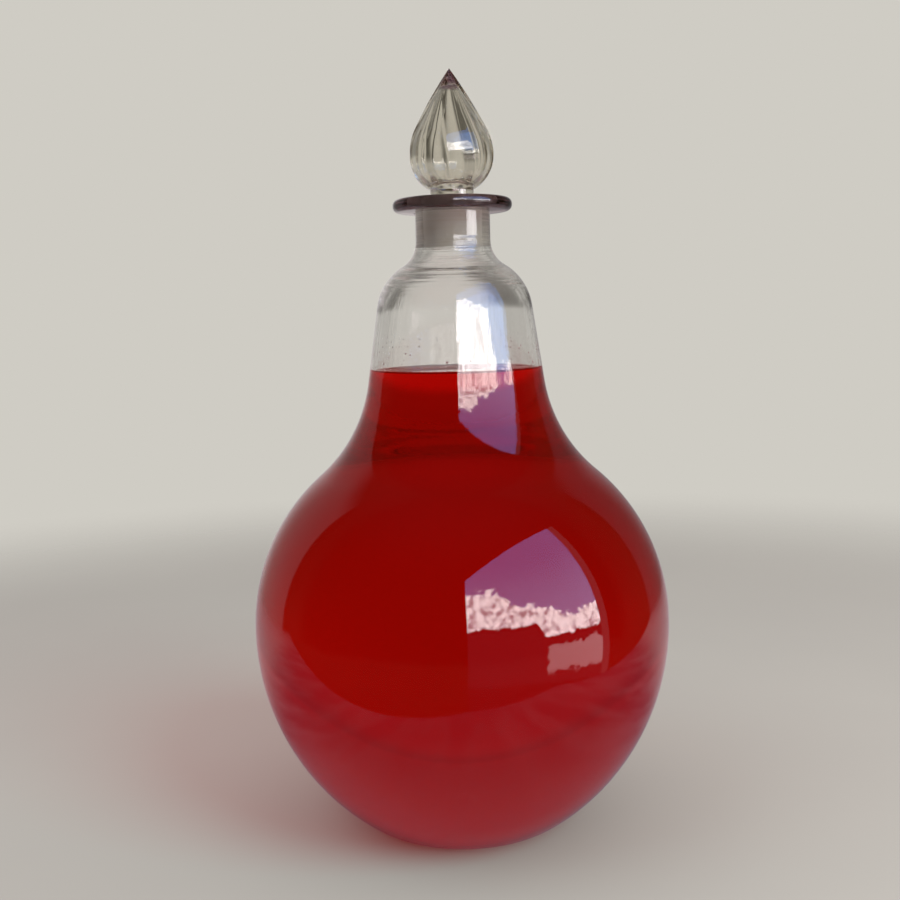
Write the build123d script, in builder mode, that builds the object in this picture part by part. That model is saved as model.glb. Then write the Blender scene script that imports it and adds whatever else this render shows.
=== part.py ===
"""Apothecary show globe: a blown glass carboy of red show liquid with a panel-cut glass stopper.

Millimetres, +Z up. The origin is the centre of the base, on the surface that the globe stands on.
"""
import os
from math import acos, atan2, cos, degrees, radians, sin, tan

from build123d import *

# Belly of the bottle, outer face
belly_radius = 151.0
belly_height = 151.0
base_radius = 49.0
heel_arc = 53.0
belly_top_arc = 143.0

# Bell between the belly and the neck, outer face
bell_length = 275.0
bell_top_radius = 48.5
bell_lean = 8.6
flare_arc = 109.0
shoulder_arc = 40.0
neck_blend_arc = 20.0

# Neck with its ground socket, and the lip laid round it
neck_radius = 26.6
neck_length = 30.0
mouth_radius = 21.5
mouth_round = 1.2
ground_taper = 1.43
lip_radius = 42.4
lip_thickness = 10.0
lip_rim_thickness = 8.6
lip_rim_round = 4.0

# Glass thickness and the kick-up under the base
wall = 3.5
floor_thickness = 6.5
kick_radius = 40.0
kick_height = 13.0
kick_edge_round = 3.0

# Show liquid, a hair inside the glass so that the two solids stay apart
fill_height = 336.0
liquid_clearance = 0.3

# Stopper: pairs of opposite panels cut on a hollow teardrop, a collar, and a ground plug
panel_pairs = 5
panel_turn = -6.3
finial_radius = 31.2
finial_height = 83.4
finial_widest = 22.9
crown_arc = 40.0
crown_turn = 27.0
finial_wall = 3.6
finial_tip_round = 5.0
collar_radius = 15.4
collar_height = 6.2
collar_bore = 11.2
collar_round = 2.4
plug_length = 35.0
plug_seat = 3.5
plug_wall = 5.5
plug_fit = 0.08
plug_edge = 1.2

# Heights worked out from the sizes above
neck_foot = belly_height + bell_length
mouth_height = neck_foot + neck_length
collar_top = mouth_height + collar_height
plug_bottom = mouth_height - plug_length
plug_top = mouth_height - plug_seat
taper = tan(radians(ground_taper))
panel_step = 180 / panel_pairs


def socket_radius(height):
    """Radius of the ground socket at a height."""
    return mouth_radius - (mouth_height - height) * taper


def draw_blown_face(inset, foot_height, neck, neck_inset):
    """Draw one face of the blown wall into the open line, from the foot ring to the foot of the neck.

    The face lies inset inside the outer one. Every arc is tangent to the next, so the turn of
    each arc follows from the centres of the arcs beside it.
    """
    belly = belly_radius - inset
    foot = base_radius - inset
    heel = heel_arc - inset
    top = belly_top_arc - inset
    flare = flare_arc + inset
    shoulder = shoulder_arc - inset
    blend = neck_blend_arc + neck_inset
    lean = radians(bell_lean)
    bell_top = bell_top_radius - inset / cos(lean)

    # The belly below its widest ring: one arc, tangent to the heel
    reach = belly - foot
    rise = belly_height - foot_height - heel
    low = (reach**2 + rise**2 - heel**2) / (2 * (reach - heel))
    low_turn = atan2(rise, low - reach)

    # The flare is tangent to the top of the belly and to the leaning wall of the bell
    wall_offset = (bell_top - belly + top) * cos(lean) + bell_length * sin(lean)
    flare_turn = acos((wall_offset + flare) / (top + flare))

    # The shoulder is tangent to that wall and to the blend into the neck
    blend_offset = (neck + blend - bell_top) * cos(lean)
    shoulder_turn = acos((blend_offset + shoulder) / (shoulder + blend))
    closing_turn = lean + shoulder_turn
    shoulder_x = neck + blend - (shoulder + blend) * cos(closing_turn)
    shoulder_z = neck_foot - (shoulder + blend) * sin(closing_turn)
    wall_end = (shoulder_x + shoulder * cos(lean), shoulder_z + shoulder * sin(lean))

    ring = Line((kick_radius, foot_height), (foot, foot_height))
    heel_curve = JernArc(ring @ 1, ring % 1, heel, 90 - degrees(low_turn))
    low_curve = JernArc(heel_curve @ 1, heel_curve % 1, low, degrees(low_turn))
    top_curve = JernArc(low_curve @ 1, low_curve % 1, top, degrees(lean + flare_turn))
    flare_curve = JernArc(top_curve @ 1, top_curve % 1, flare, -degrees(flare_turn))
    side = Line(flare_curve @ 1, wall_end)
    shoulder_curve = JernArc(side @ 1, side % 1, shoulder, degrees(shoulder_turn))
    JernArc(shoulder_curve @ 1, shoulder_curve % 1, blend, -degrees(closing_turn))


def draw_kick_up(foot_height):
    """Draw the dome under the base into the open line, from the axis to the foot ring."""
    TangentArc((0, foot_height + kick_height), (kick_radius, foot_height), tangent=(1, 0))


def hollow_sketch(clearance):
    """Half of the space inside the blown wall, below the ground socket."""
    socket_foot = socket_radius(neck_foot)
    neck_wall = neck_radius - socket_foot
    floor = floor_thickness + clearance
    with BuildSketch() as hollow:
        with BuildLine():
            draw_kick_up(floor)
            draw_blown_face(wall + clearance, floor, socket_foot - clearance, neck_wall + clearance)
            Polyline((socket_foot - clearance, neck_foot), (0, neck_foot), (0, floor + kick_height))
        make_face()
    return hollow.sketch


def finial_sketch():
    """Side view of the finial across two opposite panels."""
    flat_radius = finial_radius * cos(radians(panel_step / 2))
    widest = (flat_radius, collar_top + finial_widest)
    with BuildSketch() as finial:
        with BuildLine():
            Line((0, collar_top), (collar_radius, collar_top))
            TangentArc(widest, (collar_radius, collar_top), tangent=(0, -1))
            crown = JernArc(widest, (0, 1), crown_arc, crown_turn)
            TangentArc(crown @ 1, (0, collar_top + finial_height), tangent=crown % 1)
            mirror(about=Plane.YZ)
        make_face()
    return finial.sketch


# Bottle: one revolved wall, thick at the base and the neck, with the ground socket in its mouth
with BuildPart() as bottle:
    with BuildSketch(Plane.XZ):
        with BuildLine():
            draw_kick_up(0)
            draw_blown_face(0, 0, neck_radius, 0)
            Line((neck_radius, neck_foot), (neck_radius, mouth_height))
            Polyline((neck_radius, mouth_height), (0, mouth_height), (0, kick_height))
        make_face()
        add(hollow_sketch(0), mode=Mode.SUBTRACT)
        with BuildLine():
            Polyline(
                (0, neck_foot),
                (socket_radius(neck_foot), neck_foot),
                (mouth_radius, mouth_height),
                (0, mouth_height),
                close=True,
            )
        make_face(mode=Mode.SUBTRACT)
    revolve(axis=Axis.Z)
    mouth_edge = bottle.edges().filter_by(GeomType.CIRCLE).group_by(Axis.Z)[-1].sort_by(SortBy.RADIUS)[0]
    fillet(mouth_edge, mouth_round)
    kick_edge = bottle.faces().sort_by(Axis.Z)[0].edges().sort_by(SortBy.RADIUS)[0]
    fillet(kick_edge, kick_edge_round)

# Applied lip: a flat ring round the neck, thinner towards its full rim
with BuildPart() as applied_lip:
    with BuildSketch(Plane.XZ):
        rim_slope = (lip_thickness - lip_rim_thickness) / 2
        lip_foot = mouth_height - lip_thickness
        with BuildLine():
            Polyline(
                (neck_radius, lip_foot),
                (lip_radius, lip_foot + rim_slope),
                (lip_radius, mouth_height - rim_slope),
                (neck_radius, mouth_height),
                close=True,
            )
        lip_section = make_face()
        fillet(lip_section.vertices().group_by(Axis.X)[-1], lip_rim_round)
    revolve(axis=Axis.Z)

# Show liquid: fills the hollow from the floor to its level
with BuildPart() as show_liquid:
    with BuildSketch(Plane.XZ):
        add(hollow_sketch(liquid_clearance))
        split(bisect_by=Plane.XZ.offset(-fill_height), keep=Keep.TOP)
    revolve(axis=Axis.Z)

# Stopper: ten panels cut on the teardrop, on its collar and ground plug, blown hollow
with BuildPart() as stopper:
    for panel_pair in range(panel_pairs):
        side_plane = Plane.XZ.rotated((0, 0, panel_turn + panel_pair * panel_step))
        with BuildSketch(side_plane):
            add(finial_sketch())
        extrude(amount=2 * finial_radius, both=True, mode=Mode.INTERSECT if panel_pair else Mode.ADD)
    with BuildSketch(Plane.XZ):
        with BuildLine():
            Polyline(
                (0, plug_bottom),
                (socket_radius(plug_bottom) - plug_fit, plug_bottom),
                (socket_radius(plug_top) - plug_fit, plug_top),
                (collar_radius, plug_top),
                (collar_radius, collar_top),
                (0, collar_top),
                close=True,
            )
        plug_side = make_face()
        fillet(plug_side.vertices().sort_by_distance((collar_radius, plug_top))[0], collar_round)
    revolve(axis=Axis.Z)
    plug_rims = stopper.faces().filter_by(GeomType.CONE).edges().filter_by(GeomType.CIRCLE)
    chamfer(plug_rims, plug_edge)
    with BuildSketch(Plane.XZ) as stopper_hollow:
        add(finial_sketch())
        cavity = offset(amount=-finial_wall, mode=Mode.REPLACE)
        fillet(cavity.vertices().sort_by(Axis.Y)[-1], finial_tip_round)
        split(bisect_by=Plane.YZ)
        with BuildLine():
            plug_bore = socket_radius(plug_bottom) - plug_wall
            funnel_foot = plug_top - plug_wall
            bore = FilletPolyline(
                (plug_bore, plug_bottom),
                (plug_bore, funnel_foot),
                (collar_bore, funnel_foot + plug_bore - collar_bore),
                (collar_bore, collar_top + finial_widest),
                radius=collar_round,
            )
            Polyline(bore @ 1, (0, collar_top + finial_widest), (0, plug_bottom), bore @ 0)
        make_face()
        cavity_foot = (collar_bore, collar_top + finial_wall)
        fillet(stopper_hollow.vertices().sort_by_distance(cavity_foot)[0], collar_round)
    revolve(axis=Axis.Z, mode=Mode.SUBTRACT)

os.makedirs("parts", exist_ok=True)

bottle.part.label = "bottle"
export_step(bottle.part, "parts/bottle.step")

applied_lip.part.label = "applied_lip"
export_step(applied_lip.part, "parts/applied_lip.step")

show_liquid.part.label = "show_liquid"
export_step(show_liquid.part, "parts/show_liquid.step")

stopper.part.label = "stopper"
export_step(stopper.part, "parts/stopper.step")
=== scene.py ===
"""Looks of the apothecary show globe: blown glass, red show liquid and a panel-cut stopper.

Metres, +Z up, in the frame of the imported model. Directions round the globe are azimuths in
degrees: 0 is towards the camera, along -Y, and 90 is towards +X.
"""
from math import acos, atan2, ceil, cos, exp, hypot, pi, radians, sin, tan

import bpy
import numpy as np
from mathutils import Matrix, Vector


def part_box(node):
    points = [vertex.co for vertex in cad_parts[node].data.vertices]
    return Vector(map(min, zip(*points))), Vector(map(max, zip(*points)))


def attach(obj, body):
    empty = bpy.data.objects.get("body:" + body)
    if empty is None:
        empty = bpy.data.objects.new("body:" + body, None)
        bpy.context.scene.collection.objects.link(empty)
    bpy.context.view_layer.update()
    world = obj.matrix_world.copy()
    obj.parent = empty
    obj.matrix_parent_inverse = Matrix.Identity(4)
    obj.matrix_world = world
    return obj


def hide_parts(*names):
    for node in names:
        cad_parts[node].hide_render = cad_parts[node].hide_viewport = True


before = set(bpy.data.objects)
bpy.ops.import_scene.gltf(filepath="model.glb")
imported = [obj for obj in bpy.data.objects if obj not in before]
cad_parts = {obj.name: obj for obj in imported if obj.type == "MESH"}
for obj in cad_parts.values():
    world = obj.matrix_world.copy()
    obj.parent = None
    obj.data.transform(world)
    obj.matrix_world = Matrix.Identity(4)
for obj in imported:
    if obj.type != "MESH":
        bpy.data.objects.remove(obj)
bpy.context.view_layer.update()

scene = bpy.context.scene
MM = 0.001

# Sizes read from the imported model
bottle_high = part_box("bottle")[1]
lip_low, lip_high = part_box("applied_lip")
liquid_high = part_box("show_liquid")[1]
stopper_low, stopper_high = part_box("stopper")
belly_radius = bottle_high.x
mouth_height = bottle_high.z
lip_radius = lip_high.x
lip_foot = lip_low.z
fill_height = liquid_high.z
plug_foot = stopper_low.z
finial_tip = stopper_high.z

# Curves of the blown bottle, the same arcs as its solid
belly_height = 151 * MM
base_radius = 49 * MM
heel_arc = 53 * MM
belly_top_arc = 143 * MM
bell_length = 275 * MM
bell_top_radius = 48.5 * MM
bell_lean = radians(8.6)
flare_arc = 109 * MM
shoulder_arc = 40 * MM
neck_blend_arc = 20 * MM
neck_foot = belly_height + bell_length
neck_radius = 26.6 * MM
mouth_radius = 21.5 * MM
mouth_round = 1.2 * MM
ground_taper = tan(radians(1.43))
ground_overrun = 5 * MM
lip_rim_thickness = 8.6 * MM
lip_rim_round = 4.0 * MM
wall = 3.5 * MM
floor_thickness = 6.5 * MM
kick_radius = 40 * MM
kick_height = 13 * MM
kick_edge_round = 3 * MM

# Liquid, with the curve that the glass draws its surface up into
liquid_clearance = 0.3 * MM
meniscus_rise = 2.4 * MM
meniscus_width = 2.6 * MM

# Stopper
panel_count = 10
finial_radius = 31.2 * MM
finial_widest = 22.9 * MM
crown_arc = 40 * MM
crown_turn = radians(27)
finial_wall = 3.6 * MM
cavity_tip_round = 6.5 * MM
cavity_tip_depth = 13.5 * MM
cavity_crown_arc = 31 * MM
cavity_crown_turn = radians(31)
cavity_foot_flare = 1.5 * MM
cavity_foot_rise = 1.0 * MM
collar_radius = 15.4 * MM
collar_top = mouth_height + 6.2 * MM
collar_bore = 11.2 * MM
collar_round = 2.4 * MM
plug_top = mouth_height - 3.5 * MM
plug_wall = 5.5 * MM
plug_fit = 0.08 * MM
plug_edge = 1.2 * MM
plug_bore_round = 1.0 * MM

# Ridges between the panels: how wide and how deep they are polished off, and how far those
# that the photograph doesn't show wander, in degrees
RIDGE_WIDTH = 0.12
RIDGE_DEPTH = 0.1
RIDGE_WANDER = 5
RIDGE_SEED = 11

# Refraction. A face between glass and liquid bends light by the ratio of the two, and a face
# where glass is fused to glass, or where the liquid's own skin meets the wet wall, not at all.
GLASS = 1.5
LIQUID = 1.333
WET_GLASS = GLASS / LIQUID
FUSED = 1.0

# Fineness of the meshes: segments round the axis, the longest steps of a profile and the widest
# turn of one, and the steps in a rounded corner and in the liquid's curve up to the glass
BOTTLE_SEGMENTS = 192
STOPPER_SEGMENTS = 440
STEP = 2.8 * MM
FINE_STEP = 1.6 * MM
STEP_TURN = radians(8)
ROUND_STEPS = 6
MENISCUS_STEPS = 12

# How near a face lies to a surface that it counts as part of
SOCKET_MARGIN = 0.1 * MM
LIP_MARGIN = 0.01 * MM
PLUG_MARGIN = 0.3 * MM
LEVEL_MARGIN = 0.5 * MM
TINY = 1e-9


class Pen:
    """Draws a profile of straight stretches and arcs that leave in the direction of travel."""

    def __init__(self, r, z, heading=0.0, step=STEP):
        self.points = [(r, z)]
        self.heading = heading
        self.step = step

    def line_to(self, r, z):
        r0, z0 = self.points[-1]
        self.heading = atan2(z - z0, r - r0)
        length = hypot(r - r0, z - z0)
        count = max(1, ceil(length / self.step))
        for i in range(1, count + 1):
            along = length * i / count
            self.points.append((r0 + along * cos(self.heading), z0 + along * sin(self.heading)))

    def turn(self, radius, angle):
        """An arc of this radius. A positive angle turns left."""
        side = 1 if angle > 0 else -1
        r, z = self.points[-1]
        centre_r = r - side * radius * sin(self.heading)
        centre_z = z + side * radius * cos(self.heading)
        count = max(2, ceil(abs(angle) * radius / self.step), ceil(abs(angle) / STEP_TURN))
        for i in range(1, count + 1):
            heading = self.heading + angle * i / count
            self.points.append(
                (centre_r + side * radius * sin(heading), centre_z - side * radius * cos(heading))
            )
        self.heading += angle

    def arc_to(self, r, z):
        """An arc that leaves in the direction of travel and ends at a point."""
        r0, z0 = self.points[-1]
        half = (atan2(z - z0, r - r0) - self.heading + pi) % (2 * pi) - pi
        self.turn(hypot(r - r0, z - z0) / abs(2 * sin(half)), 2 * half)


def socket_radius(height):
    """Radius of the ground socket at a height."""
    return mouth_radius - (mouth_height - height) * ground_taper


def blown_face(inset, foot_height, neck, neck_inset):
    """Points of one face of the blown wall, from the foot ring to the foot of the neck.

    The face lies inset inside the outer one. Every arc is tangent to the next, so the turn of
    each arc follows from the centres of the arcs beside it.
    """
    belly = belly_radius - inset
    foot = base_radius - inset
    heel = heel_arc - inset
    top = belly_top_arc - inset
    flare = flare_arc + inset
    shoulder = shoulder_arc - inset
    blend = neck_blend_arc + neck_inset
    bell_top = bell_top_radius - inset / cos(bell_lean)
    reach = belly - foot
    rise = belly_height - foot_height - heel
    low = (reach**2 + rise**2 - heel**2) / (2 * (reach - heel))
    low_turn = atan2(rise, low - reach)
    wall_offset = (bell_top - belly + top) * cos(bell_lean) + bell_length * sin(bell_lean)
    flare_turn = acos((wall_offset + flare) / (top + flare))
    blend_offset = (neck + blend - bell_top) * cos(bell_lean)
    shoulder_turn = acos((blend_offset + shoulder) / (shoulder + blend))
    closing_turn = bell_lean + shoulder_turn
    shoulder_r = neck + blend - (shoulder + blend) * cos(closing_turn)
    shoulder_z = neck_foot - (shoulder + blend) * sin(closing_turn)

    pen = Pen(kick_radius, foot_height)
    pen.line_to(foot, foot_height)
    pen.turn(heel, pi / 2 - low_turn)
    pen.turn(low, low_turn)
    pen.turn(top, bell_lean + flare_turn)
    pen.turn(flare, -flare_turn)
    pen.line_to(shoulder_r + shoulder * cos(bell_lean), shoulder_z + shoulder * sin(bell_lean))
    pen.turn(shoulder, shoulder_turn)
    pen.turn(blend, -closing_turn)
    return pen.points


def kick_up(foot_height):
    """Points of the dome under the base, from the axis to the foot ring."""
    radius = (kick_radius**2 + kick_height**2) / (2 * kick_height)
    pen = Pen(0, foot_height + kick_height)
    pen.turn(radius, -2 * atan2(kick_height, kick_radius))
    return pen.points


def rounded(points, corner, radius):
    """The points with the corner nearest to the given place rounded off."""
    places = [hypot(r - corner[0], z - corner[1]) for r, z in points]
    i = places.index(min(places))
    at = Vector(points[i])
    before = (Vector(points[i - 1]) - at).normalized()
    after = (Vector(points[i + 1]) - at).normalized()
    half = acos(max(-1.0, min(1.0, before.dot(after)))) / 2
    trim = radius / tan(half)
    centre = at + (before + after).normalized() * (radius / sin(half))
    start = at + before * trim
    end = at + after * trim
    first = atan2(start.y - centre.y, start.x - centre.x)
    last = atan2(end.y - centre.y, end.x - centre.x)
    sweep = (last - first + pi) % (2 * pi) - pi
    angles = [first + sweep * k / ROUND_STEPS for k in range(ROUND_STEPS + 1)]
    arc = [(centre.x + radius * cos(a), centre.y + radius * sin(a)) for a in angles]
    head, tail = points[:i], points[i + 1:]
    while (Vector(head[-1]) - at).length < trim:
        head.pop()
    while (Vector(tail[0]) - at).length < trim:
        tail.pop(0)
    return head + arc + tail


def blown_hollow(clearance):
    """Points of the inner wall, or of a skin this far inside it, from the axis to the neck."""
    floor_height = floor_thickness + clearance
    neck = hollow_neck - clearance
    points = kick_up(floor_height)
    points += blown_face(wall + clearance, floor_height, neck, neck_radius - neck)[1:]
    return rounded(points, (kick_radius, floor_height), kick_edge_round)


def make_mesh(name, co, faces):
    mesh = bpy.data.meshes.new(name)
    mesh.from_pydata([tuple(p) for p in co], [], faces)
    mesh.polygons.foreach_set("use_smooth", [True] * len(mesh.polygons))
    ob = bpy.data.objects.new(name, mesh)
    scene.collection.objects.link(ob)
    return ob


def revolve(name, profile, segments, shape=None, **numbers):
    """A closed solid of revolution.

    Its profile starts and ends on the axis, or is a closed loop round it, and has the glass on
    its left. shape moves the points. Each of numbers is a rule that gives the faces of a step of
    the profile a number, from the step's index and its middle, for the material to read.
    """
    on_axis = profile[0][0] < TINY
    rings = profile[1:-1] if on_axis else profile
    count = len(rings)
    angles = np.linspace(0, 2 * pi, segments, endpoint=False)
    r = np.array([p[0] for p in rings])
    z = np.array([p[1] for p in rings])
    co = np.empty((count, segments, 3))
    co[:, :, 0] = r[:, None] * np.sin(angles)
    co[:, :, 1] = -r[:, None] * np.cos(angles)
    co[:, :, 2] = z[:, None]
    if shape:
        shape(co, r, z)
    co = co.reshape(-1, 3)
    faces, steps = [], []
    for i in range(count - 1 if on_axis else count):
        a, b = i * segments, ((i + 1) % count) * segments
        for k in range(segments):
            n = (k + 1) % segments
            faces.append((a + k, a + n, b + n, b + k))
            steps.append(i + 1 if on_axis else i)
    if on_axis:
        first_pole, last_pole = len(co), len(co) + 1
        last_ring = (count - 1) * segments
        co = np.vstack([co, [[0, 0, profile[0][1]], [0, 0, profile[-1][1]]]])
        for k in range(segments):
            n = (k + 1) % segments
            faces.append((first_pole, n, k))
            steps.append(0)
            faces.append((last_ring + k, last_ring + n, last_pole))
            steps.append(count)
    ob = make_mesh(name, co, faces)
    ends = list(zip(profile, profile[1:] + profile[:1]))
    for number, rule in numbers.items():
        each = [rule(i, (a[0] + b[0]) / 2, (a[1] + b[1]) / 2) for i, (a, b) in enumerate(ends)]
        layer = ob.data.attributes.new(number, "FLOAT", "FACE")
        layer.data.foreach_set("value", np.array([each[s] for s in steps], np.float32))
    return ob


# Bottle: outer face, mouth, ground socket and inner face in one profile
outer = kick_up(0) + blown_face(0, 0, neck_radius, 0)[1:]
outer = rounded(outer, (kick_radius, 0), kick_edge_round)
neck_pen = Pen(*outer[-1])
neck_pen.line_to(neck_radius, lip_foot)
neck_pen.line_to(neck_radius, mouth_height)
outer += neck_pen.points[1:]
hollow_neck = socket_radius(neck_foot)
socket_pen = Pen(neck_radius, mouth_height)
socket_pen.line_to(mouth_radius, mouth_height)
socket_pen.line_to(hollow_neck, neck_foot)
inner = blown_hollow(0)
split_at = next(i for i, (r, z) in enumerate(inner) if z > fill_height)
below, above = inner[split_at - 1], inner[split_at]
share = (fill_height - below[1]) / (above[1] - below[1])
level_point = (below[0] + share * (above[0] - below[0]), fill_height)
inner.insert(split_at, level_point)
bottle_profile = outer + socket_pen.points[1:] + inner[::-1][1:]
bottle_profile = rounded(bottle_profile, (mouth_radius, mouth_height), mouth_round)
outer_steps = len(outer) - 1


def bottle_bend(i, r, z):
    if i < outer_steps:
        return FUSED if z > lip_foot else GLASS
    return WET_GLASS if z < fill_height else GLASS


def bottle_ground(i, r, z):
    in_socket = i > outer_steps and z > neck_foot - ground_overrun
    return 1.0 if in_socket and r < mouth_radius + SOCKET_MARGIN else 0.0


def bottle_inside(i, r, z):
    return 1.0 if i > outer_steps and z < neck_foot else 0.0


bottle = revolve(
    "bottle_glass", bottle_profile, BOTTLE_SEGMENTS,
    bend=bottle_bend, ground=bottle_ground, inside=bottle_inside,
)

# Lip: a flat ring fused round the neck
rim_slope = (mouth_height - lip_foot - lip_rim_thickness) / 2
rim_corners = ((lip_radius, lip_foot + rim_slope), (lip_radius, mouth_height - rim_slope))
lip_pen = Pen(neck_radius, lip_foot, step=FINE_STEP)
for corner in (*rim_corners, (neck_radius, mouth_height), (neck_radius, lip_foot)):
    lip_pen.line_to(*corner)
lip_profile = lip_pen.points[:-1]
for corner in rim_corners:
    lip_profile = rounded(lip_profile, corner, lip_rim_round)


def lip_bend(i, r, z):
    return FUSED if r < neck_radius + LIP_MARGIN else GLASS


lip = revolve("lip_glass", lip_profile, BOTTLE_SEGMENTS, bend=lip_bend)

# Liquid: fills the wet wall up to its level, where its surface curves up to the glass
wet = [p for p in blown_hollow(liquid_clearance) if p[1] < fill_height - LEVEL_MARGIN]
wet_edge = level_point[0] - liquid_clearance
wet.append((wet_edge, fill_height))
wet_steps = len(wet) - 1
for k in range(1, MENISCUS_STEPS + 1):
    inward = k / MENISCUS_STEPS * 3 * meniscus_width
    drop = meniscus_rise * (1 - exp(-inward / meniscus_width))
    wet.append((wet_edge - inward, fill_height - drop))
surface_pen = Pen(*wet[-1])
surface_pen.line_to(0, wet[-1][1])
wet += surface_pen.points[1:]


def liquid_bend(i, r, z):
    return FUSED if i < wet_steps else LIQUID


liquid = revolve("show_liquid_body", wet, BOTTLE_SEGMENTS, bend=liquid_bend)

# Stopper: the outside of the finial across two opposite panels
flat_radius = finial_radius * cos(pi / panel_count)
widest_height = collar_top + finial_widest
foot_lean = flat_radius - collar_radius
foot_arc = (foot_lean**2 + finial_widest**2) / (2 * foot_lean)
foot_turn = 2 * atan2(foot_lean, finial_widest)
outside = Pen(collar_radius, collar_top, heading=pi / 2 - foot_turn, step=FINE_STEP)
outside.turn(foot_arc, foot_turn)
outside.turn(crown_arc, crown_turn)
outside.arc_to(0, finial_tip)

# Stopper: its hollow, with a rounded top under the solid tip, then the bore and the plug
plug_low = socket_radius(plug_foot) - plug_fit
plug_high = socket_radius(plug_top) - plug_fit
plug_bore = socket_radius(plug_foot) - plug_wall
funnel_foot = plug_top - plug_wall
funnel_top = funnel_foot + plug_bore - collar_bore
cavity_radius = flat_radius - finial_wall
cavity_foot = collar_top + finial_wall
cavity_top = Pen(0, finial_tip - cavity_tip_depth, step=FINE_STEP)
cavity_top.turn(cavity_tip_round, outside.heading - pi)
upper = Pen(cavity_radius, widest_height, heading=pi / 2, step=FINE_STEP)
upper.turn(cavity_crown_arc, cavity_crown_turn)
upper.arc_to(*cavity_top.points[-1])
lower = Pen(cavity_radius, widest_height, heading=-pi / 2, step=FINE_STEP)
lower.arc_to(collar_bore + cavity_foot_flare, cavity_foot + cavity_foot_rise)
stopper_profile = cavity_top.points[:-1] + upper.points[::-1] + lower.points[1:]
cavity_rows = len(stopper_profile) - 1
bore = Pen(*lower.points[-1], step=FINE_STEP)
for corner in (
    (collar_bore, cavity_foot - cavity_foot_rise),
    (collar_bore, funnel_top),
    (plug_bore, funnel_foot),
    (plug_bore, plug_foot),
    (plug_low, plug_foot),
    (plug_high, plug_top),
    (collar_radius, plug_top),
    (collar_radius, collar_top),
):
    bore.line_to(*corner)
stopper_profile += bore.points[1:]
first_finial_step = len(stopper_profile)
stopper_profile += outside.points[1:]
for corner, radius in (
    ((plug_low, plug_foot), plug_edge),
    ((plug_high, plug_top), plug_edge),
    ((collar_radius, plug_top), collar_round),
    ((plug_bore, plug_foot), plug_bore_round),
    ((plug_bore, funnel_foot), collar_round),
    ((collar_bore, funnel_top), collar_round),
):
    sharp_count = len(stopper_profile)
    stopper_profile = rounded(stopper_profile, corner, radius)
    first_finial_step += len(stopper_profile) - sharp_count

# Azimuth of each ridge at the foot, the widest place, two thirds up and the tip. They wander as
# a hand cut them: three as in the photograph, and the others by chance.
two_thirds_up = collar_top + 0.62 * (finial_tip - collar_top)
ridge_heights = (collar_top, widest_height, two_thirds_up, finial_tip)
seen_ridges = {0: (0, -5, -14, -30), 1: (39, 30, 21, 16), 9: (-39, -35, -37, -43)}
wander = np.random.default_rng(RIDGE_SEED).uniform(
    -RIDGE_WANDER, RIDGE_WANDER, (panel_count, len(ridge_heights))
)
ridges = [seen_ridges.get(i, 360 / panel_count * i + wander[i]) for i in range(panel_count)]


def ten_sided(radius, height):
    """A ring of points on ten panels at this distance from the axis, their ridges rounded."""
    azimuths = [radians(np.interp(height, ridge_heights, ridge)) for ridge in ridges]
    reach = radius / cos(pi / panel_count)
    corners = np.array([(reach * sin(a), -reach * cos(a)) for a in azimuths])
    per_panel = STOPPER_SEGMENTS // panel_count
    t = np.arange(per_panel)[:, None] / per_panel
    to_ridge = 1 - np.abs(2 * t - 1)
    lost = RIDGE_DEPTH * (np.hypot(to_ridge, RIDGE_WIDTH) - to_ridge)
    sides = [
        corners[i] * (1 - t) + corners[(i + 1) % panel_count] * t for i in range(panel_count)
    ]
    return np.vstack([side * (1 - lost) for side in sides])


def cut_panels(co, r, z):
    """Makes the finial ten-sided, and the back of its hollow with it."""
    for row in range(first_finial_step - 1, len(r)):
        co[row, :, :2] = ten_sided(r[row], z[row])
    for row in range(cavity_rows):
        sides = ten_sided(r[row], z[row])
        circle = sides * (r[row] / np.hypot(*sides.T))[:, None]
        above_foot = np.interp(z[row] - collar_top, (finial_wall, 3 * finial_wall), (0, 1))
        at_back = np.clip(0.5 + sides[:, 1:] / r[row], 0, 1) * above_foot
        co[row, :, :2] = circle + (sides - circle) * at_back


def stopper_ground(i, r, z):
    return 1.0 if r > plug_low - PLUG_MARGIN and z < plug_top else 0.0


stopper = revolve(
    "stopper_glass", stopper_profile, STOPPER_SEGMENTS, shape=cut_panels, ground=stopper_ground
)

# Materials
WHITE = (1.0, 1.0, 1.0, 1.0)

# Most of a noise's values lie between these two
NOISE_LOW = 0.3
NOISE_HIGH = 0.7

# How deep the marks on the glass are, the first two as shares of its waves, how rough its ground
# faces are, and how much they, dried drops and haze cover
SEED_DEPTH = 0.25
THREAD_DEPTH = 0.06
RING_DEPTH = 0.45 * MM
CORD_DEPTH = 0.08 * MM
GROUND_ROUGHNESS = (0.28, 0.42)
GROUND_COVER = (0.5, 0.75)
GROUND_TRANSLUCENCE = 0.55
HAZE_COVER = 0.10
DROP_COVER = 0.75

# The share of a speck's radius that is solid, and how narrowly chance picks the specks
SPECK_CORE = 0.6
SPECK_CHANCE = 0.02

# A ray that has entered this many surfaces has been through the liquid
PAST_LIQUID_DEPTH = 5.5


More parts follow.
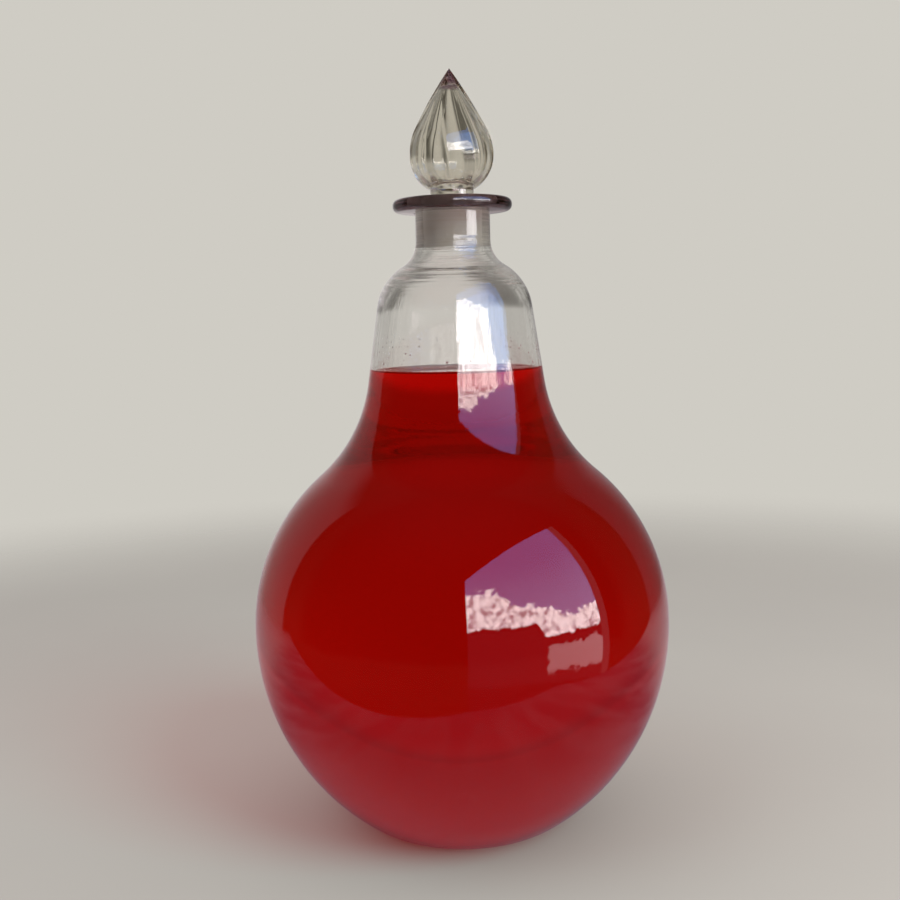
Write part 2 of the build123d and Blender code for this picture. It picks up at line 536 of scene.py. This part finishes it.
class Nodes:
    """Adds nodes to a tree. A number or a colour sets an input, and a socket is linked to it."""

    def __init__(self, tree):
        self.tree = tree
        tree.nodes.clear()

    def set(self, socket, value):
        if isinstance(value, bpy.types.NodeSocket):
            self.tree.links.new(value, socket)
        else:
            socket.default_value = value

    def add(self, kind, inputs=(), **settings):
        node = self.tree.nodes.new(kind)
        for key, value in settings.items():
            setattr(node, key, value)
        for key, value in dict(inputs).items():
            self.set(node.inputs[key], value)
        return node

    def math(self, operation, a, b=0.0, c=0.0, clamp=False):
        node = self.add("ShaderNodeMath", {0: a, 1: b, 2: c}, operation=operation, use_clamp=clamp)
        return node.outputs[0]

    def product(self, first, *others):
        for other in others:
            first = self.math("MULTIPLY", first, other)
        return first

    def ramp(self, value, low, high, to_low=0.0, to_high=1.0, smooth=True):
        node = self.add(
            "ShaderNodeMapRange",
            {"Value": value, "From Min": low, "From Max": high, "To Min": to_low, "To Max": to_high},
            interpolation_type="SMOOTHSTEP" if smooth else "LINEAR",
        )
        return node.outputs["Result"]

    def curve(self, value, start, points, end):
        """A smooth curve from start at 0, through the points, to end at 1."""
        node = self.add("ShaderNodeFloatCurve", {"Value": value})
        curve = node.mapping.curves[0]
        curve.points[0].location = (0.0, start)
        curve.points[1].location = (1.0, end)
        for at, level in points:
            curve.points.new(at, level)
        node.mapping.update()
        return node.outputs[0]

    def mix(self, factor, a, b):
        node = self.add("ShaderNodeMix", data_type="RGBA")
        for index, value in ((0, factor), (6, a), (7, b)):
            self.set(node.inputs[index], value)
        return node.outputs[2]

    def mix_shader(self, factor, a, b):
        return self.add("ShaderNodeMixShader", {0: factor, 1: a, 2: b}).outputs[0]

    def shader(self, kind, colour):
        return self.add(kind, {"Color": colour}).outputs[0]

    def dot(self, vector, direction):
        node = self.add("ShaderNodeVectorMath", {0: vector, 1: direction}, operation="DOT_PRODUCT")
        return node.outputs["Value"]

    def coordinates(self, kind):
        """A position or direction, and its x, y and z."""
        vector = self.add("ShaderNodeTexCoord").outputs[kind]
        return vector, *self.add("ShaderNodeSeparateXYZ", {"Vector": vector}).outputs

    def attribute(self, name):
        return self.add("ShaderNodeAttribute", attribute_name=name).outputs["Fac"]

    def noise(self, place, scale, detail, roughness=0.5, stretch=None):
        if stretch:
            mapping = self.add("ShaderNodeMapping", {"Vector": place, "Scale": stretch})
            place = mapping.outputs["Vector"]
        inputs = {"Vector": place, "Scale": scale, "Detail": detail, "Roughness": roughness}
        return self.add("ShaderNodeTexNoise", inputs).outputs["Fac"]

    def ruffle(self, value, pattern, amount):
        """The value, moved up and down by a noise."""
        return self.math("MULTIPLY_ADD", self.math("SUBTRACT", pattern, 0.5), amount, value)

    def specks(self, place, scale, size, rarity):
        """Small round dots at random places: 1 in the dots and 0 between them."""
        cells = self.add("ShaderNodeTexVoronoi", {"Vector": place, "Scale": scale}, feature="F1")
        dot = self.ramp(cells.outputs["Distance"], size * SPECK_CORE, size, 1.0, 0.0)
        chance = self.add("ShaderNodeSeparateColor", {"Color": cells.outputs["Color"]}).outputs[0]
        return self.product(dot, self.ramp(chance, rarity, rarity + SPECK_CHANCE))

    def finish(self, output_kind, surface):
        output = self.add(output_kind)
        self.tree.links.new(surface, output.inputs["Surface"])
        return output


def rgb(red, green, blue):
    """A colour given as the sRGB numbers 0 to 255 that it shows as, in linear light."""
    def to_linear(c):
        c /= 255
        return c / 12.92 if c <= 0.04045 else ((c + 0.055) / 1.055) ** 2.4
    return (to_linear(red), to_linear(green), to_linear(blue), 1.0)


def linear(red, green, blue):
    """A colour given in linear light."""
    return (red, green, blue, 1.0)


def new_material(name):
    material = bpy.data.materials.new(name)
    material.use_nodes = True
    return material, Nodes(material.node_tree)


def glass_material(name, ior, wave, colour=WHITE, by_face=False, ground=False, rings=None,
                   cords=None, film=None, dark_tip=None, absorb=None, murk=None):
    """Clear glass or water, with the slow waves of hand work and fine seeds.

    wave is the depth of the waves. by_face takes the refraction from the faces' numbers, and
    ground frosts the faces marked so. rings are the heights between which tools left rings round
    the glass, cords those between which it has upright streaks, and film those between which
    dried drops of the liquid stain its inner face. dark_tip holds two heights and the darker
    colour that the glass turns from one to the other, partly its tint where it is thick and partly
    painted shade, absorb the tint and density of its inside, and murk the colour and share of
    the light that a cloudy skin scatters.
    """
    material, nodes = new_material(name)
    place, _, _, height_here = nodes.coordinates("Object")

    waves = nodes.noise(place, 14.0, 1.0, 0.4)
    threads = nodes.noise(place, 1.0, 2.0, stretch=(60.0, 60.0, 9.0))
    height = nodes.math("MULTIPLY_ADD", threads, THREAD_DEPTH, waves)
    seeds = nodes.specks(place, 110.0, 0.11, 0.93)
    height = nodes.math("MULTIPLY_ADD", seeds, SEED_DEPTH, height)
    height = nodes.product(height, wave)
    if rings:
        low, high = rings
        grooves = nodes.noise(place, 1.0, 3.0, 0.6, stretch=(7.0, 7.0, 420.0))
        fade_in = nodes.ramp(height_here, low, low + 15 * MM)
        fade_out = nodes.ramp(height_here, high, high - 3 * MM)
        grooves = nodes.product(grooves, fade_in, fade_out)
        height = nodes.math("MULTIPLY_ADD", grooves, RING_DEPTH, height)
    if cords:
        low, high = cords
        strands = nodes.noise(place, 1.0, 2.0, 0.6, stretch=(300.0, 300.0, 11.0))
        fade_in = nodes.ramp(height_here, low - 10 * MM, low + 10 * MM)
        fade_out = nodes.ramp(height_here, high + 8 * MM, high - 8 * MM)
        strands = nodes.product(strands, fade_in, fade_out)
        height = nodes.math("MULTIPLY_ADD", strands, CORD_DEPTH, height)
    bump = nodes.add("ShaderNodeBump", {"Height": height, "Distance": 1.0, "Strength": 1.0})

    roughness = 0.0
    if ground:
        frosted = nodes.attribute("ground")
        grain = nodes.noise(place, 900.0, 2.0)
        rough = nodes.ramp(grain, NOISE_LOW, NOISE_HIGH, *GROUND_ROUGHNESS)
        roughness = nodes.product(frosted, rough)
    principled = nodes.add(
        "ShaderNodeBsdfPrincipled",
        {
            "Base Color": colour,
            "Roughness": roughness,
            "IOR": ior,
            "Transmission Weight": 1.0,
            "Normal": bump.outputs["Normal"],
        },
    )
    if by_face:
        nodes.set(principled.inputs["IOR"], nodes.attribute("bend"))
    # Darker towards the solid tip: partly the glass's tint where it is thick, partly painted shade
    if dark_tip:
        low, high, dark = dark_tip
        tint = nodes.mix(nodes.ramp(height_here, low, high), colour, dark)
        nodes.set(principled.inputs["Base Color"], tint)
    surface = principled.outputs[0]

    if ground:
        scratches = nodes.noise(place, 1.0, 2.0, stretch=(12.0, 12.0, 900.0))
        mottle = nodes.noise(place, 90.0, 4.0)
        frost_colour = nodes.mix(mottle, rgb(226, 218, 200), rgb(250, 247, 240))
        frost = nodes.mix_shader(
            GROUND_TRANSLUCENCE,
            nodes.shader("ShaderNodeBsdfDiffuse", frost_colour),
            nodes.shader("ShaderNodeBsdfTranslucent", frost_colour),
        )
        cover = nodes.ramp(scratches, NOISE_LOW, NOISE_HIGH, *GROUND_COVER)
        surface = nodes.mix_shader(nodes.product(frosted, cover), surface, frost)
    if film:
        low, high = film
        near = nodes.ramp(height_here, low, high, 1.0, 0.0)
        above = nodes.ramp(height_here, low - 0.2 * MM, low)
        dried = nodes.product(near, above, nodes.attribute("inside"))
        fine_drops = nodes.specks(place, 330.0, 0.30, 0.80)
        drops = nodes.math("MAXIMUM", fine_drops, nodes.specks(place, 160.0, 0.16, 0.86))
        runs = nodes.noise(place, 1.0, 4.0, stretch=(90.0, 90.0, 12.0))
        haze = nodes.ramp(runs, 0.45, 0.75, 0.0, HAZE_COVER)
        stain = nodes.math("MAXIMUM", nodes.product(drops, DROP_COVER), haze)
        stain_colour = nodes.mix(near, rgb(225, 216, 214), rgb(172, 84, 96))
        stained = nodes.shader("ShaderNodeBsdfDiffuse", stain_colour)
        surface = nodes.mix_shader(nodes.product(stain, dried), surface, stained)
    if murk:
        milk_colour, milk_share = murk
        milk = nodes.shader("ShaderNodeBsdfTranslucent", milk_colour)
        surface = nodes.mix_shader(milk_share, surface, milk)

    # Light on its way to other things goes straight through, so that the floor gets its share
    clear = nodes.shader("ShaderNodeBsdfTransparent", linear(0.97, 0.96, 0.97))
    is_shadow = nodes.add("ShaderNodeLightPath").outputs["Is Shadow Ray"]
    surface = nodes.mix_shader(is_shadow, surface, clear)
    output = nodes.finish("ShaderNodeOutputMaterial", surface)
    if absorb:
        tint, density = absorb
        volume = nodes.add("ShaderNodeVolumeAbsorption", {"Color": tint, "Density": density})
        nodes.set(output.inputs["Volume"], volume.outputs[0])
    return material


# Heights between which the bell shows streaks, and from which the shoulder shows rings
bell_foot = 290 * MM
shoulder_foot = 385 * MM

blown = glass_material(
    "blown_glass", GLASS, 0.25 * MM, colour=linear(0.995, 0.99, 0.99), by_face=True, ground=True,
    rings=(shoulder_foot, neck_foot + 3 * MM), cords=(bell_foot, shoulder_foot),
    film=(fill_height, fill_height + 36 * MM),
)
tooled = glass_material(
    "lip_amethyst_glass", GLASS, 0.12 * MM, by_face=True, absorb=(linear(0.48, 0.2, 0.26), 58.0)
)
red_water = glass_material(
    "red_show_water", LIQUID, 0.0, by_face=True, absorb=(linear(0.978, 0.0, 0.0), 60.0),
    murk=(linear(0.9, 0.01, 0.01), 0.06),
)
solid_tip = finial_tip - cavity_tip_depth
cut = glass_material(
    "cut_glass", GLASS, 0.05 * MM, colour=linear(0.90, 0.88, 0.83), ground=True,
    absorb=(linear(0.72, 0.68, 0.58), 16.0),
    dark_tip=(solid_tip - 2 * MM, solid_tip + 3 * MM, linear(0.22, 0.12, 0.17)),
)

for piece, node, body, slot, material in (
    (bottle, "bottle", "globe", "blown_glass", blown),
    (lip, "applied_lip", "globe", "lip_glass", tooled),
    (liquid, "show_liquid", "globe", "show_liquid", red_water),
    (stopper, "stopper", "stopper", "cut_glass", cut),
):
    piece.data.materials.append(material)
    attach(piece, body)
    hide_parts(node)

# Floor, and the mirrored table: how far each edge slants across x, and where it starts and ends
# to show along y
FLOOR_RINGS = (0.3, 0.6, 0.9, 1.1, 1.3, 1.5, 1.7)
FLOOR_SEGMENTS = 64
TABLE_EDGES = ((0.0, -0.368, -0.362), (0.43, -0.363, -0.357), (-1.1, -0.725, -0.715))


def floor_mesh():
    """A flat round floor, in rings."""
    co = [(0, 0, 0)]
    faces = []
    for n, ring in enumerate(FLOOR_RINGS):
        angles = [2 * pi * k / FLOOR_SEGMENTS for k in range(FLOOR_SEGMENTS)]
        co += [(ring * cos(a), ring * sin(a), 0) for a in angles]
        here = 1 + n * FLOOR_SEGMENTS
        within = here - FLOOR_SEGMENTS
        for k in range(FLOOR_SEGMENTS):
            following = (k + 1) % FLOOR_SEGMENTS
            if n == 0:
                faces.append((0, here + k, here + following))
            else:
                faces.append((within + k, here + k, here + following, within + following))
    return make_mesh("floor", co, faces)


def pale_floor():
    """Pale cloth that fades out into the pale surroundings.

    A reflection sees the cloth with painted shade: darker and bluer than it is, with painted
    shade along its creased lines, lighter near the base and behind, and ending at a table's
    edges. A ray that has been through the liquid sees painted light in place of the lit cloth,
    with painted shadow in a ring round the globe's foot.
    """
    material, nodes = new_material("pale_floor")
    place, x, y, _ = nodes.coordinates("Object")
    length = nodes.add("ShaderNodeVectorMath", {0: place}, operation="LENGTH")
    distance = length.outputs["Value"]
    path = nodes.add("ShaderNodeLightPath").outputs

    weave = nodes.noise(place, 3.0, 3.0)
    cloth = nodes.mix(weave, rgb(186, 182, 177), rgb(194, 190, 184))
    # Painted shade for reflections only: the cloth turns darker and bluer, with painted shade along
    # creased lines, lighter near the base and further behind
    painted_crease_shade = nodes.noise(place, 1.0, 3.0, 0.55, stretch=(16.0, 4.5, 1.0))
    painted_crease_shade = nodes.ramp(painted_crease_shade, 0.38, 0.68)
    painted_mirror_shade = nodes.mix(painted_crease_shade, linear(0.09, 0.105, 0.16), linear(0.25, 0.26, 0.33))
    painted_mirror_shade = nodes.mix(nodes.ramp(distance, 0.28, 0.12), painted_mirror_shade, linear(0.36, 0.33, 0.40))
    painted_mirror_shade = nodes.mix(nodes.ramp(y, 0.0, 0.3), painted_mirror_shade, linear(0.56, 0.49, 0.52))
    straight = nodes.math("SUBTRACT", 1.0, path["Is Transmission Ray"])
    reflection = nodes.product(path["Is Glossy Ray"], straight)
    diffuse = nodes.shader("ShaderNodeBsdfDiffuse", nodes.mix(reflection, cloth, painted_mirror_shade))

    # Painted light in place of the lit cloth for rays through the liquid, brightest far out, with
    # painted shadow in a ring round the globe's foot and for rays whose length nears their distance
    # from the centre
    painted_shadow = linear(0.25, 0.245, 0.24)
    painted_glow = nodes.mix(nodes.ramp(distance, 0.1, 0.25), linear(0.38, 0.37, 0.36), painted_shadow)
    painted_glow = nodes.mix(nodes.ramp(distance, 0.3, 0.6), painted_glow, linear(0.43, 0.42, 0.41))
    steep = nodes.ramp(nodes.math("DIVIDE", path["Ray Length"], distance), 0.85, 1.0)
    painted_glow = nodes.shader("ShaderNodeEmission", nodes.mix(steep, painted_glow, painted_shadow))
    past_liquid = nodes.math("GREATER_THAN", path["Transmission Depth"], PAST_LIQUID_DEPTH)
    cloth_or_painted_glow = nodes.mix_shader(past_liquid, diffuse, painted_glow)

    table = nodes.product(*(
        nodes.ramp(nodes.math("MULTIPLY_ADD", x, slant, y), start, end)
        for slant, start, end in TABLE_EDGES
    ))
    off_table = nodes.product(nodes.math("SUBTRACT", 1.0, table), reflection)
    fade = nodes.ramp(distance, 0.8, 1.6, 1.0, 0.0)
    cover = nodes.product(fade, nodes.math("SUBTRACT", 1.0, off_table))
    nothing = nodes.add("ShaderNodeBsdfTransparent").outputs[0]
    nodes.finish("ShaderNodeOutputMaterial", nodes.mix_shader(cover, nothing, cloth_or_painted_glow))
    return material


floor = floor_mesh()
floor.data.materials.append(pale_floor())

# Surroundings. The eye sees pale cloth, a reflection the dark room and its opening, and a ray
# through the glass the cloth with painted shade in its folds.
BACKDROP = rgb(207, 204, 196)
STUDIO = linear(0.62, 0.61, 0.60)

# The opening: the azimuths of its two sides, its sloping top, and the softness of its edges
OPENING_LEFT = 2.0
OPENING_RIGHT = 77.5
LINTEL_AZIMUTH = 56.3
LINTEL_SLOPE = 1.245
EDGE = 0.004

# Tops of the clouds: azimuth and elevation
CLOUD_TOPS = ((14, 29), (22, 27), (29, 21), (46, 16.5), (60, 10), (74, 11))

# Painted shade in the folds of the cloth behind the glass: azimuth from straight behind, and how
# dark the shade is
FOLD_SHADES = (
    (-50, 0.6), (-40, 0.4), (-30, 0.8), (-22, 0.4), (-16, 0.95), (-11, 0.9), (-5, 0.1), (1, 0.0),
    (5, 0.8), (13, 0.85), (18, 0.1), (24, 0.6), (30, 0.2), (40, 0.7), (50, 0.3),
)


def towards(azimuth):
    """A level direction."""
    a = radians(azimuth)
    return Vector((sin(a), -cos(a), 0))


def open_sky(nodes, direction, azimuth, elevation):
    """What shows in the opening: blue sky over clouds, dark buildings, bright ground and a sill."""
    wisps = nodes.noise(direction, 11.0, 9.0, 0.72)
    billows = nodes.noise(direction, 17.0, 4.0, 0.5)
    tops = [(at / 90, top / 90) for at, top in CLOUD_TOPS]
    cloud_top = nodes.curve(nodes.math("DIVIDE", azimuth, 90.0), 0.30, tops, 0.11)
    cloud_top = nodes.product(cloud_top, 90.0)
    cloud_top = nodes.ruffle(cloud_top, wisps, nodes.ramp(azimuth, 30, 50, 16.0, 6.0))
    cloud_top = nodes.ruffle(cloud_top, billows, -9.0)
    cloud = nodes.ramp(nodes.math("SUBTRACT", cloud_top, elevation), -0.5, 0.8)
    sky = nodes.mix(nodes.ramp(elevation, 8, 45), linear(1.3, 2.3, 4.6), linear(0.45, 1.15, 3.1))
    shade = nodes.ramp(billows, 0.44, 0.68)
    cloud_colour = nodes.mix(shade, linear(13.4, 13.1, 13.2), linear(3.6, 3.3, 3.6))
    sky = nodes.mix(cloud, sky, cloud_colour)

    roofs = nodes.ruffle(nodes.ramp(azimuth, 39, 44, 9.5, 1.5), wisps, 9.0)
    buildings = nodes.ramp(nodes.math("SUBTRACT", roofs, elevation), -0.4, 0.6)
    sky = nodes.mix(buildings, sky, linear(0.10, 0.10, 0.12))
    uneven = nodes.ruffle(elevation, wisps, 12.0)
    ground = nodes.product(
        nodes.ramp(uneven, -3, -4),
        nodes.ramp(uneven, -17, -15),
        nodes.ramp(nodes.math("MULTIPLY_ADD", wisps, 10.0, azimuth), 49, 50),
    )
    sky = nodes.mix(ground, sky, linear(2.7, 2.3, 2.4))
    return nodes.mix(nodes.ramp(elevation, -20, -22), sky, linear(0.05, 0.045, 0.045))


def mirrored_room(nodes, direction, z, azimuth, elevation):
    """What a reflection sees: a dark room with an opening in front, and cloth behind."""
    left_of = nodes.ramp(nodes.dot(direction, towards(OPENING_LEFT + 90)), -EDGE, EDGE)
    right_of = nodes.ramp(nodes.dot(direction, towards(OPENING_RIGHT - 90)), -EDGE, EDGE)
    lintel = nodes.product(nodes.dot(direction, towards(LINTEL_AZIMUTH)), LINTEL_SLOPE)
    under = nodes.ramp(nodes.math("SUBTRACT", lintel, z), -EDGE, EDGE)
    opening = nodes.product(left_of, right_of, under)

    height = nodes.ramp(elevation, 30, 70)
    room = nodes.mix(height, linear(0.04, 0.034, 0.010), linear(0.06, 0.052, 0.035))
    reveal = nodes.product(nodes.ramp(azimuth, 77, 78), nodes.ramp(azimuth, 83, 82), under)
    room = nodes.mix(reveal, room, linear(0.3, 0.29, 0.3))
    on_left, on_right = nodes.ramp(azimuth, -111, -113), nodes.ramp(azimuth, 120, 122)
    behind = nodes.math("ADD", on_left, on_right, clamp=True)
    behind = nodes.product(behind, nodes.ramp(elevation, 50, 35))
    straight_behind = nodes.ramp(nodes.math("ABSOLUTE", azimuth), 138, 165)
    left = nodes.mix(straight_behind, linear(0.30, 0.28, 0.27), linear(0.60, 0.56, 0.56))
    right = nodes.mix(straight_behind, linear(0.12, 0.115, 0.11), linear(0.28, 0.26, 0.27))
    cloth = nodes.mix(nodes.math("GREATER_THAN", azimuth, 0.0), left, right)
    room = nodes.mix(behind, room, cloth)
    return nodes.mix(opening, room, open_sky(nodes, direction, azimuth, elevation))


def through_glass(nodes, path, x, y, elevation, reflected):
    """What a ray through the glass sees: cloth with painted shade in each fold, or painted light if
    it met the liquid.

    A ray that was turned back inside the glass and leaves it away from the cloth sees the room.
    """
    side = nodes.math("DEGREES", nodes.math("ARCTAN2", x, y))
    # Painted shade in the cloth's folds, weaker where the ray looks low
    points = [((at + 90) / 180, dark) for at, dark in FOLD_SHADES]
    painted_fold_shade = nodes.curve(nodes.ramp(side, -90, 90, smooth=False), 0.5, points, 0.5)
    painted_fold_shade = nodes.product(painted_fold_shade, nodes.ramp(elevation, 2, 9, 0.3, 1.0))
    through = nodes.mix(painted_fold_shade, BACKDROP, linear(0.05, 0.046, 0.036))
    through = nodes.mix(nodes.ramp(elevation, 35, 60), through, linear(0.30, 0.29, 0.28))
    sideways = nodes.ramp(nodes.math("ABSOLUTE", side), 75, 90)
    turned_back = nodes.math("GREATER_THAN", path["Glossy Depth"], 0.5)
    through = nodes.mix(nodes.product(sideways, turned_back), through, reflected)

    # Painted light in place of the floor and cloth seen through the liquid, darkest where the ray
    # looks steeply down
    low, middle = nodes.ramp(elevation, -18, -11), nodes.ramp(elevation, -9, -2)
    painted_glow = nodes.mix(low, linear(0.28, 0.27, 0.26), linear(0.46, 0.45, 0.44))
    painted_glow = nodes.mix(middle, painted_glow, linear(0.37, 0.36, 0.35))
    painted_glow = nodes.mix(nodes.ramp(elevation, 20, 45), painted_glow, linear(0.29, 0.285, 0.28))
    past_liquid = nodes.math("GREATER_THAN", path["Transmission Depth"], PAST_LIQUID_DEPTH)
    return nodes.mix(past_liquid, through, painted_glow)


def make_surroundings():
    world = bpy.data.worlds.new("studio")
    world.use_nodes = True
    nodes = Nodes(world.node_tree)
    direction, x, y, z = nodes.coordinates("Generated")
    toward_camera = nodes.product(y, -1.0)
    azimuth = nodes.math("DEGREES", nodes.math("ARCTAN2", x, toward_camera))
    elevation = nodes.math("DEGREES", nodes.math("ARCSINE", z))
    path = nodes.add("ShaderNodeLightPath").outputs
    reflected = mirrored_room(nodes, direction, z, azimuth, elevation)
    through = through_glass(nodes, path, x, y, elevation, reflected)
    seen = nodes.mix(path["Is Glossy Ray"], STUDIO, reflected)
    seen = nodes.mix(path["Is Transmission Ray"], seen, through)
    seen = nodes.mix(path["Is Camera Ray"], seen, BACKDROP)
    nodes.finish("ShaderNodeOutputWorld", nodes.shader("ShaderNodeBackground", seen))
    return world


scene.world = make_surroundings()

# Lamps, which the glass doesn't mirror
LAMP_AIM = Vector((0, 0, 0.2))


def area_lamp(name, azimuth, elevation, distance, size, power, colour):
    data = bpy.data.lights.new(name, "AREA")
    data.shape = "DISK"
    data.size = size
    data.energy = power
    data.color = colour
    ob = bpy.data.objects.new(name, data)
    scene.collection.objects.link(ob)
    e = radians(elevation)
    offset = towards(azimuth) * cos(e) + Vector((0, 0, sin(e)))
    ob.location = LAMP_AIM + distance * offset
    ob.rotation_euler = (LAMP_AIM - ob.location).to_track_quat("-Z", "Y").to_euler()
    ob.visible_camera = False
    ob.visible_glossy = False
    ob.visible_transmission = False


area_lamp("key", 45, 36, 2.0, 1.1, 24, (1.0, 0.99, 0.97))
area_lamp("fill", -60, 50, 2.2, 1.6, 7, (0.97, 0.98, 1.0))

# Camera, at the photograph's angle, rolled as the photograph is
camera_place = (-0.0058, -0.832, 0.3754)
pitch, roll = radians(6.8), radians(1.4)
camera_data = bpy.data.cameras.new("camera")
camera_data.lens = 46
camera_data.sensor_width = 36
camera = bpy.data.objects.new("camera", camera_data)
scene.collection.objects.link(camera)
scene.camera = camera
forward = Vector((0, cos(pitch), -sin(pitch)))
level_up = Vector((0, sin(pitch), cos(pitch)))
level_right = Vector((1, 0, 0))
right = level_right * cos(roll) - level_up * sin(roll)
up = level_up * cos(roll) + level_right * sin(roll)
turned = Matrix((right, up, -forward)).transposed().to_4x4()
camera.matrix_world = Matrix.Translation(camera_place) @ turned

scene.view_settings.view_transform = "Standard"
scene.cycles.max_bounces = 48
scene.cycles.transmission_bounces = 32
scene.cycles.glossy_bounces = 32
scene.cycles.diffuse_bounces = 3
scene.cycles.transparent_max_bounces = 32
scene.cycles.caustics_reflective = False
scene.cycles.caustics_refractive = False
